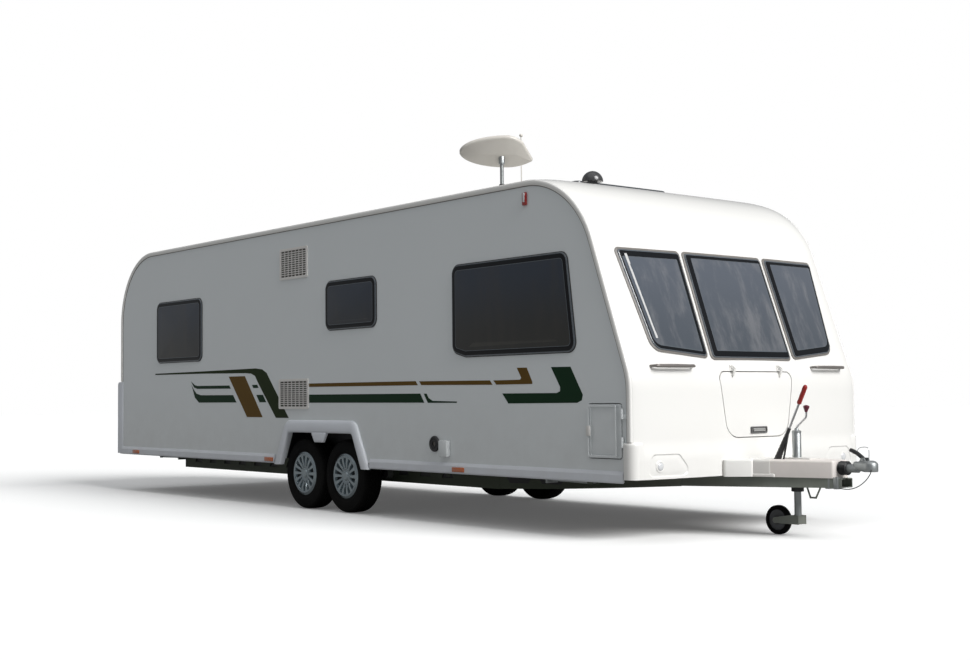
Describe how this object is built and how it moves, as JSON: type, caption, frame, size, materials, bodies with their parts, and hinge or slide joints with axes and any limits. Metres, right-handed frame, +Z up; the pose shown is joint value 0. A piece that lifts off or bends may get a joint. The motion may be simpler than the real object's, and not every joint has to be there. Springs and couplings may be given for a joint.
{
  "type": "twin-axle travel caravan",
  "caption": "Twin-axle travel caravan with a raked glazed front, drawbar and jockey wheel; towed living cabin with an entrance door, lockers and corner steadies.",
  "frame": {"origin": "on the floor, midway between the rear bumper and the hitch tip, on the centre line", "axes": "+X forward to the hitch, +Y to the left, +Z up"},
  "size_m": [8.7954, 2.427, 3.0084],
  "materials": {
    "body_white": "gloss white",
    "trim_grey": "satin grey",
    "tinted_glass": "tinted acrylic",
    "front_glass": "tinted acrylic",
    "tyre": "matte",
    "wheel_silver": "satin",
    "galvanised": "dull",
    "chassis_steel": "dull",
    "black_plastic": "matte",
    "lamp_red": "gloss",
    "lamp_clear": "gloss",
    "lamp_orange": "gloss",
    "floor_ply": "sealed",
    "aerial_white": "satin"
  },
  "bodies": {
    "caravan": {"floor_panel": "floor_ply", "chassis_rail_right": "chassis_steel", "chassis_rail_left": "chassis_steel", "cross_members": "chassis_steel", "axles": "galvanised", "side_wall_right": "body_white", "side_wall_left": "body_white", "front_panel": "body_white", "rear_panel": "body_white", "roof_panel": "body_white", "side_windows_right": "tinted_glass", "side_windows_left": "tinted_glass", "front_windows": "front_glass", "rear_window": "tinted_glass", "gas_locker_box": "body_white", "hinge_brackets": "galvanised", "fridge_vents": "trim_grey", "skirt_rails": "trim_grey", "wheel_spats": "trim_grey", "wheel_boxes": "black_plastic", "front_valance": "body_white", "rear_bumper": "body_white", "rear_lamps": "lamp_red", "position_lamps": "lamp_clear", "side_markers": "lamp_orange", "grab_handles": "galvanised", "awning_rails": "trim_grey", "rooflights": "trim_grey", "roof_vent": "black_plastic", "whip_aerial": "aerial_white", "coupling_head": "galvanised", "overrun_bellows": "black_plastic", "overrun_unit": "galvanised", "drawbar_cover": "trim_grey", "handbrake_lever": "black_plastic", "jockey_tube": "galvanised", "side_fittings": "black_plastic", "breakaway_cable": "black_plastic"},
    "road_wheel_front_right": {"tyre_front_right": "tyre", "wheel_front_right": "wheel_silver"},
    "road_wheel_front_left": {"tyre_front_left": "tyre", "wheel_front_left": "wheel_silver"},
    "road_wheel_rear_right": {"tyre_rear_right": "tyre", "wheel_rear_right": "wheel_silver"},
    "road_wheel_rear_left": {"tyre_rear_left": "tyre", "wheel_rear_left": "wheel_silver"},
    "door": {"entrance_door": "body_white", "door_window": "tinted_glass"},
    "gas_lid": {"gas_locker_lid": "body_white"},
    "hatch": {"service_door": "body_white"},
    "jockey_leg": {"jockey_stem": "galvanised"},
    "jockey_castor": {"jockey_fork": "chassis_steel"},
    "jockey_roller": {"jockey_wheel": "black_plastic"},
    "mast": {"aerial_mast": "aerial_white"},
    "aerial": {"aerial_head": "aerial_white"},
    "steady_front_right": {"steady_front_right": "galvanised"},
    "steady_front_left": {"steady_front_left": "galvanised"},
    "steady_rear_right": {"steady_rear_right": "galvanised"},
    "steady_rear_left": {"steady_rear_left": "galvanised"}
  },
  "joints": [
    {"name": "road_wheel_front_right_spin", "type": "hinge", "parent": "caravan", "child": "road_wheel_front_right", "pos_m": [-0.0325, -1.0575, 0.307], "axis": [0, 1, 0], "continuous": true},
    {"name": "road_wheel_front_left_spin", "type": "hinge", "parent": "caravan", "child": "road_wheel_front_left", "pos_m": [-0.0325, 1.0575, 0.307], "axis": [0, 1, 0], "continuous": true},
    {"name": "road_wheel_rear_right_spin", "type": "hinge", "parent": "caravan", "child": "road_wheel_rear_right", "pos_m": [-0.6725, -1.0575, 0.307], "axis": [0, 1, 0], "continuous": true},
    {"name": "road_wheel_rear_left_spin", "type": "hinge", "parent": "caravan", "child": "road_wheel_rear_left", "pos_m": [-0.6725, 1.0575, 0.307], "axis": [0, 1, 0], "continuous": true},
    {"name": "jockey_lift", "type": "slide", "parent": "caravan", "child": "jockey_leg", "axis": [0, 0, 1], "range_m": [-0.2, 0.05]},
    {"name": "jockey_swivel", "type": "hinge", "parent": "jockey_leg", "child": "jockey_castor", "pos_m": [3.7575, 0, 0.1], "axis": [0, 0, 1], "continuous": true},
    {"name": "jockey_spin", "type": "hinge", "parent": "jockey_castor", "child": "jockey_roller", "pos_m": [3.5925, 0, 0.1], "axis": [0, 1, 0], "continuous": true},
    {"name": "door_swing", "type": "hinge", "parent": "caravan", "child": "door", "pos_m": [1.2845, 1.192, 1], "axis": [0, 0, -1], "range_deg": [0, 165]},
    {"name": "hatch_swing", "type": "hinge", "parent": "caravan", "child": "hatch", "pos_m": [3.2915, -1.192, 0.7], "axis": [0, 0, 1], "range_deg": [0, 110]},
    {"name": "gas_lid_lift", "type": "hinge", "parent": "caravan", "child": "gas_lid", "pos_m": [3.43433, 0, 1.128], "axis": [0, -1, 0], "range_deg": [0, 95]},
    {"name": "mast_lift", "type": "slide", "parent": "caravan", "child": "mast", "axis": [0, 0, 1], "range_m": [-0.12, 0]},
    {"name": "aerial_turn", "type": "hinge", "parent": "mast", "child": "aerial", "pos_m": [1.7515, -0.9, 2.6], "axis": [0, 0, 1], "range_deg": [-175, 175]},
    {"name": "steady_front_right_swing", "type": "hinge", "parent": "caravan", "child": "steady_front_right", "pos_m": [2.7065, -0.9, 0.368], "axis": [0, -1, 0], "range_deg": [0, 50]},
    {"name": "steady_front_left_swing", "type": "hinge", "parent": "caravan", "child": "steady_front_left", "pos_m": [2.7065, 0.9, 0.368], "axis": [0, -1, 0], "range_deg": [0, 50]},
    {"name": "steady_rear_right_swing", "type": "hinge", "parent": "caravan", "child": "steady_rear_right", "pos_m": [-3.8735, -0.9, 0.368], "axis": [0, 1, 0], "range_deg": [0, 50]},
    {"name": "steady_rear_left_swing", "type": "hinge", "parent": "caravan", "child": "steady_rear_left", "pos_m": [-3.8735, 0.9, 0.368], "axis": [0, 1, 0], "range_deg": [0, 50]}
  ]
}
